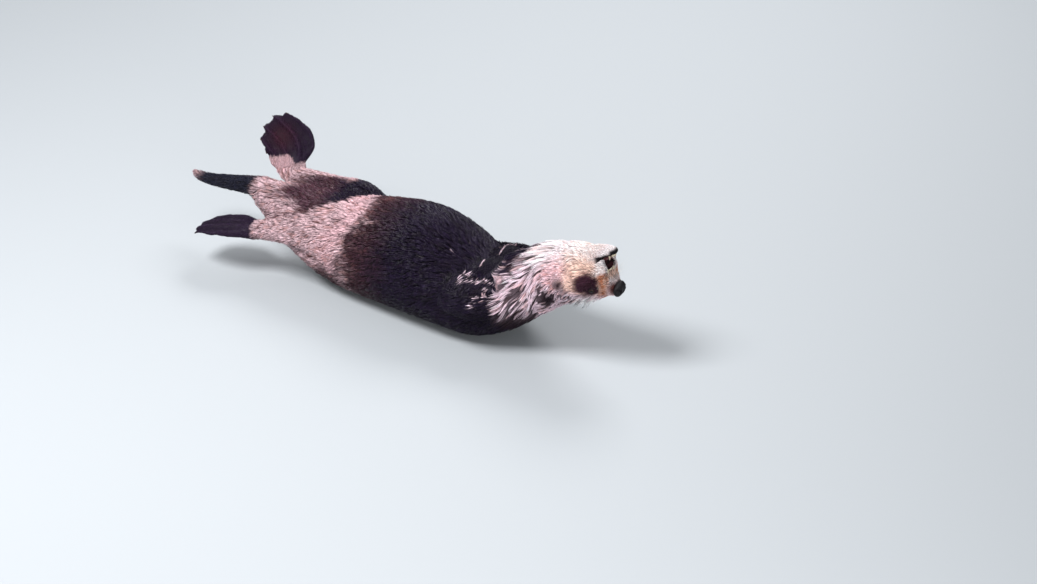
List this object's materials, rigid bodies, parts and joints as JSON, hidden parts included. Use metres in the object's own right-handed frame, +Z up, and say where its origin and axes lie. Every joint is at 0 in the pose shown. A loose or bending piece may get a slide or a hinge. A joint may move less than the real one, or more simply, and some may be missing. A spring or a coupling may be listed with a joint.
{
  "type": "sea otter",
  "caption": "Life-size sea otter lying on its back as if afloat: pale head with the mouth open, forepaws on the chest, one webbed hind foot raised, tail straight out behind.",
  "frame": {"origin": "middle of the bounding box's base, on the surface the back rests on", "axes": "+X from the tail to the nose, +Y to the otter's right side, +Z up, out of the belly"},
  "size_m": [1.2148, 0.3122, 0.3105],
  "materials": {
    "pale_coat": "long wet fur, cream",
    "tan_coat": "wet fur, pinkish tan",
    "dark_coat": "wet fur, dark brown",
    "eye": "wet and glossy, near black",
    "nose_leather": "bare wet skin, pebbled, black",
    "tongue_flesh": "wet flesh, pink",
    "claw_horn": "smooth horn, dark",
    "tooth": "smooth enamel, ivory",
    "whisker": "stiff pale hair"
  },
  "bodies": {
    "root": {"belly": "dark_coat", "chest": "dark_coat", "ear_left": "tan_coat", "ear_right": "tan_coat", "eye_left": "eye", "eye_right": "eye", "foreleg_left": "dark_coat", "foreleg_right": "dark_coat", "forepaw_left": "dark_coat", "forepaw_right": "dark_coat", "head": "pale_coat", "hind_flipper_left": "dark_coat", "hind_flipper_right": "dark_coat", "hind_leg_left": "tan_coat", "hind_leg_right": "tan_coat", "hips": "tan_coat", "lower_jaw": "pale_coat", "neck": "pale_coat", "nose": "nose_leather", "tail": "dark_coat", "tongue": "tongue_flesh"}
  },
  "joints": []
}
